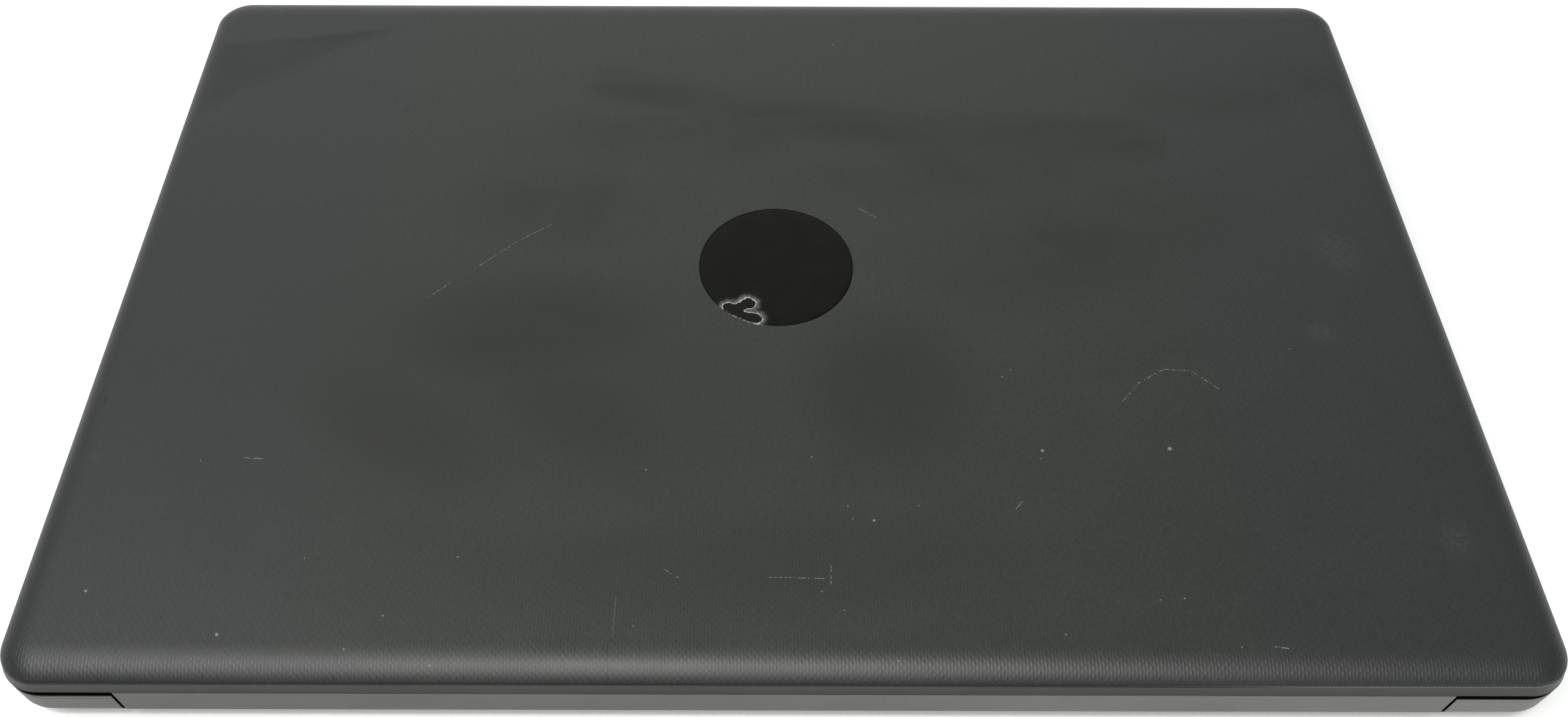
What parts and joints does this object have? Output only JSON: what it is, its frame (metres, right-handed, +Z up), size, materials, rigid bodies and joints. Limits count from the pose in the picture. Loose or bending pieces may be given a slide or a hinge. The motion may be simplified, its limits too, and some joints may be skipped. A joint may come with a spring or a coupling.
{
  "type": "laptop computer",
  "caption": "Clamshell laptop computer with a drop-hinged lid, island-key keyboard, clickable pad buttons, a sliding disc tray and side sockets.",
  "frame": {"origin": "centre of the footprint, on the surface that the rubber feet stand on", "axes": "+X along the width, towards the user's right; -Y towards the user; +Y towards the hinge; +Z up through the closed lid"},
  "size_m": [0.376, 0.246, 0.0225],
  "materials": {
    "case_plastic": "fine-grained dark grey moulding",
    "deck_plastic": "dark grey, faintly textured",
    "bezel_strip": "fine-grained dark grey moulding",
    "lid_film": "dark graphite film with a fine woven relief",
    "hinge_grey": "smooth mid grey, satin",
    "screen_frame": "black, fine grain",
    "screen": "dark matt film",
    "badge_gloss": "gloss black, worn",
    "lens_glass": "gloss",
    "light_pipe": "clear, milky",
    "rubber": "matt",
    "steel": "zinc-plated",
    "sheet_metal": "plain sheet",
    "socket_metal": "tinned",
    "keyboard_web": "black, semi-matt",
    "key_plastic": "black, slightly rubbed",
    "pad_plastic": "dark grey, very fine grain",
    "button_plastic": "dark grey satin",
    "circuit_board": "green solder mask",
    "wireless_board": "blue-green solder mask",
    "chip_black": "moulded epoxy",
    "copper": "bare copper",
    "fin_metal": "plain",
    "drive_metal": "cast, clear-coated",
    "black_plastic": "black moulding",
    "spindle_metal": "turned",
    "battery_wrap": "black wrap",
    "antenna_foil": "gold-coloured foil",
    "cable_tape": "black tape"
  },
  "bodies": {
    "base": {"bottom_cover": "case_plastic", "palmrest_cover": "deck_plastic", "keyboard_plate": "keyboard_web", "rubber_feet": "rubber", "bottom_screws": "steel", "system_board": "circuit_board", "board_chips": "chip_black", "heat_pipe": "copper", "heatsink_fins": "fin_metal", "fan_housing": "black_plastic", "battery_pack": "battery_wrap", "hard_drive": "drive_metal", "drive_bracket": "steel", "memory_module": "circuit_board", "wireless_card": "wireless_board", "speaker_left": "black_plastic", "speaker_right": "black_plastic", "touchpad_plate": "pad_plastic", "optical_drive_case": "sheet_metal", "usb_sockets": "socket_metal", "hdmi_socket": "socket_metal", "network_socket": "black_plastic", "audio_socket": "black_plastic", "power_socket": "black_plastic", "card_reader": "sheet_metal", "io_board": "circuit_board", "hinge_bracket_left": "steel", "hinge_bracket_right": "steel", "clock_battery": "fin_metal", "status_lights": "light_pipe"},
    "lid": {"lid_cover": "lid_film", "display_bezel": "screen_frame", "lcd_panel": "screen", "hinge_cap": "hinge_grey", "hinge_arm_left": "steel", "hinge_arm_right": "steel", "webcam_board": "circuit_board", "webcam_lens": "lens_glass", "lid_badge": "badge_gloss", "lid_bumpers": "rubber", "antennas": "antenna_foil", "display_cable": "cable_tape"},
    "fan": {"fan_rotor": "black_plastic"},
    "touchpad_button_left_body": {"touchpad_button_left": "button_plastic"},
    "touchpad_button_right_body": {"touchpad_button_right": "button_plastic"},
    "power_button_body": {"power_button": "button_plastic"},
    "tray": {"optical_tray": "black_plastic", "tray_bezel": "bezel_strip"},
    "spindle": {"disc_spindle": "spindle_metal"},
    "sled": {"laser_sled": "black_plastic"},
    "eject_button_body": {"eject_button": "button_plastic"},
    "function_row_keys_body": {"function_row_keys": "key_plastic"},
    "number_row_keys_body": {"number_row_keys": "key_plastic"},
    "upper_row_keys_body": {"upper_row_keys": "key_plastic"},
    "home_row_keys_body": {"home_row_keys": "key_plastic"},
    "lower_row_keys_body": {"lower_row_keys": "key_plastic"},
    "bottom_row_keys_body": {"bottom_row_keys": "key_plastic"},
    "number_pad_keys_body": {"number_pad_keys": "key_plastic"},
    "space_bar_body": {"space_bar": "key_plastic"},
    "enter_key_body": {"enter_key": "key_plastic"}
  },
  "joints": [
    {"name": "lid_hinge", "type": "hinge", "parent": "base", "child": "lid", "pos_m": [0, 0.119, 0.0105], "axis": [-1, 0, 0], "range_deg": [0, 110]},
    {"name": "fan_spin", "type": "hinge", "parent": "base", "child": "fan", "pos_m": [-0.148, 0.06875, 0.007], "axis": [0, 0, 1], "continuous": true},
    {"name": "left_button_press", "type": "slide", "parent": "base", "child": "touchpad_button_left_body", "axis": [0, 0, -1], "range_m": [0, 0.0006], "stiffness_N_per_m": 900, "springref_m": -0.0005},
    {"name": "right_button_press", "type": "slide", "parent": "base", "child": "touchpad_button_right_body", "axis": [0, 0, -1], "range_m": [0, 0.0006], "stiffness_N_per_m": 900, "springref_m": -0.0005},
    {"name": "power_press", "type": "slide", "parent": "base", "child": "power_button_body", "axis": [0, 0, -1], "range_m": [0, 0.0005], "stiffness_N_per_m": 900, "springref_m": -0.0005},
    {"name": "tray_slide", "type": "slide", "parent": "base", "child": "tray", "axis": [1, 0, 0], "range_m": [0, 0.12]},
    {"name": "spindle_spin", "type": "hinge", "parent": "tray", "child": "spindle", "pos_m": [0.1225, 0.029, 0.007], "axis": [0, 0, 1], "continuous": true},
    {"name": "sled_slide", "type": "slide", "parent": "tray", "child": "sled", "axis": [0, 1, 0], "range_m": [0, 0.023]},
    {"name": "eject_press", "type": "slide", "parent": "tray", "child": "eject_button_body", "axis": [-1, 0, 0], "range_m": [0, 0.0008], "stiffness_N_per_m": 600, "springref_m": -0.0005},
    {"name": "function_row_keys_press", "type": "slide", "parent": "base", "child": "function_row_keys_body", "axis": [0, 0, -1], "range_m": [0, 0.0014], "stiffness_N_per_m": 450, "springref_m": -0.0007},
    {"name": "number_row_keys_press", "type": "slide", "parent": "base", "child": "number_row_keys_body", "axis": [0, 0, -1], "range_m": [0, 0.0014], "stiffness_N_per_m": 450, "springref_m": -0.0007},
    {"name": "upper_row_keys_press", "type": "slide", "parent": "base", "child": "upper_row_keys_body", "axis": [0, 0, -1], "range_m": [0, 0.0014], "stiffness_N_per_m": 450, "springref_m": -0.0007},
    {"name": "home_row_keys_press", "type": "slide", "parent": "base", "child": "home_row_keys_body", "axis": [0, 0, -1], "range_m": [0, 0.0014], "stiffness_N_per_m": 450, "springref_m": -0.0007},
    {"name": "lower_row_keys_press", "type": "slide", "parent": "base", "child": "lower_row_keys_body", "axis": [0, 0, -1], "range_m": [0, 0.0014], "stiffness_N_per_m": 450, "springref_m": -0.0007},
    {"name": "bottom_row_keys_press", "type": "slide", "parent": "base", "child": "bottom_row_keys_body", "axis": [0, 0, -1], "range_m": [0, 0.0014], "stiffness_N_per_m": 450, "springref_m": -0.0007},
    {"name": "number_pad_keys_press", "type": "slide", "parent": "base", "child": "number_pad_keys_body", "axis": [0, 0, -1], "range_m": [0, 0.0014], "stiffness_N_per_m": 450, "springref_m": -0.0007},
    {"name": "space_bar_press", "type": "slide", "parent": "base", "child": "space_bar_body", "axis": [0, 0, -1], "range_m": [0, 0.0014], "stiffness_N_per_m": 450, "springref_m": -0.0007},
    {"name": "enter_key_press", "type": "slide", "parent": "base", "child": "enter_key_body", "axis": [0, 0, -1], "range_m": [0, 0.0014], "stiffness_N_per_m": 450, "springref_m": -0.0007}
  ]
}
